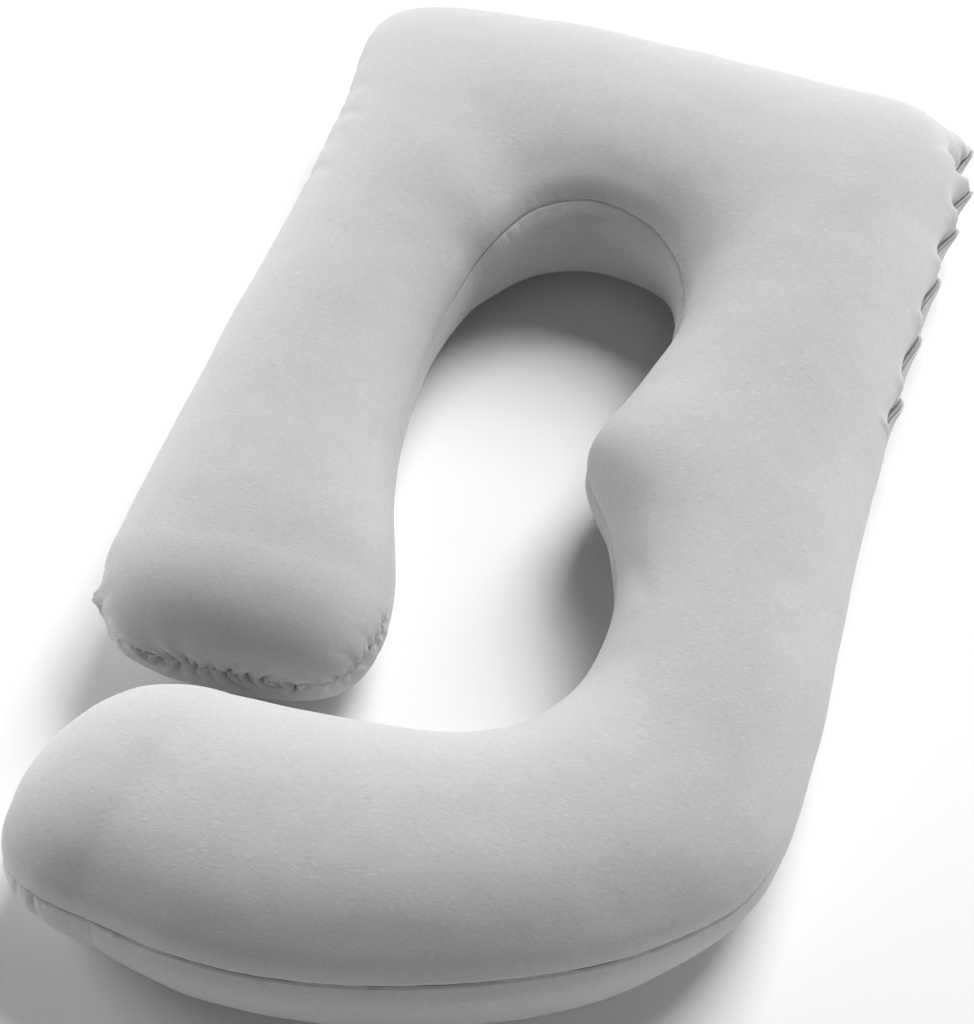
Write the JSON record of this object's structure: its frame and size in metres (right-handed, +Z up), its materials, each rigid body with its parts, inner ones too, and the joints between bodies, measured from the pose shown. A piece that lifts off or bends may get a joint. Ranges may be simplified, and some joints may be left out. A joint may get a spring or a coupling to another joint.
{
  "type": "body pillow",
  "caption": "G-shaped filled body pillow lying flat: a short leg, a head bar and a long leg that hooks round under the short one, with a zip in the long leg's side seam.",
  "frame": {"origin": "under the middle of the pillow, on the surface it lies on", "axes": "+Y along the pillow towards its head bar, +X towards the long leg that carries the zip, +Z up"},
  "size_m": [0.8122, 1.4046, 0.2121],
  "materials": {
    "pillow": "matte knitted jersey, light grey melange",
    "zip": "woven tape with a closed coil, mid grey"
  },
  "bodies": {
    "root": {"pillow": "pillow", "zip": "zip"}
  },
  "joints": []
}
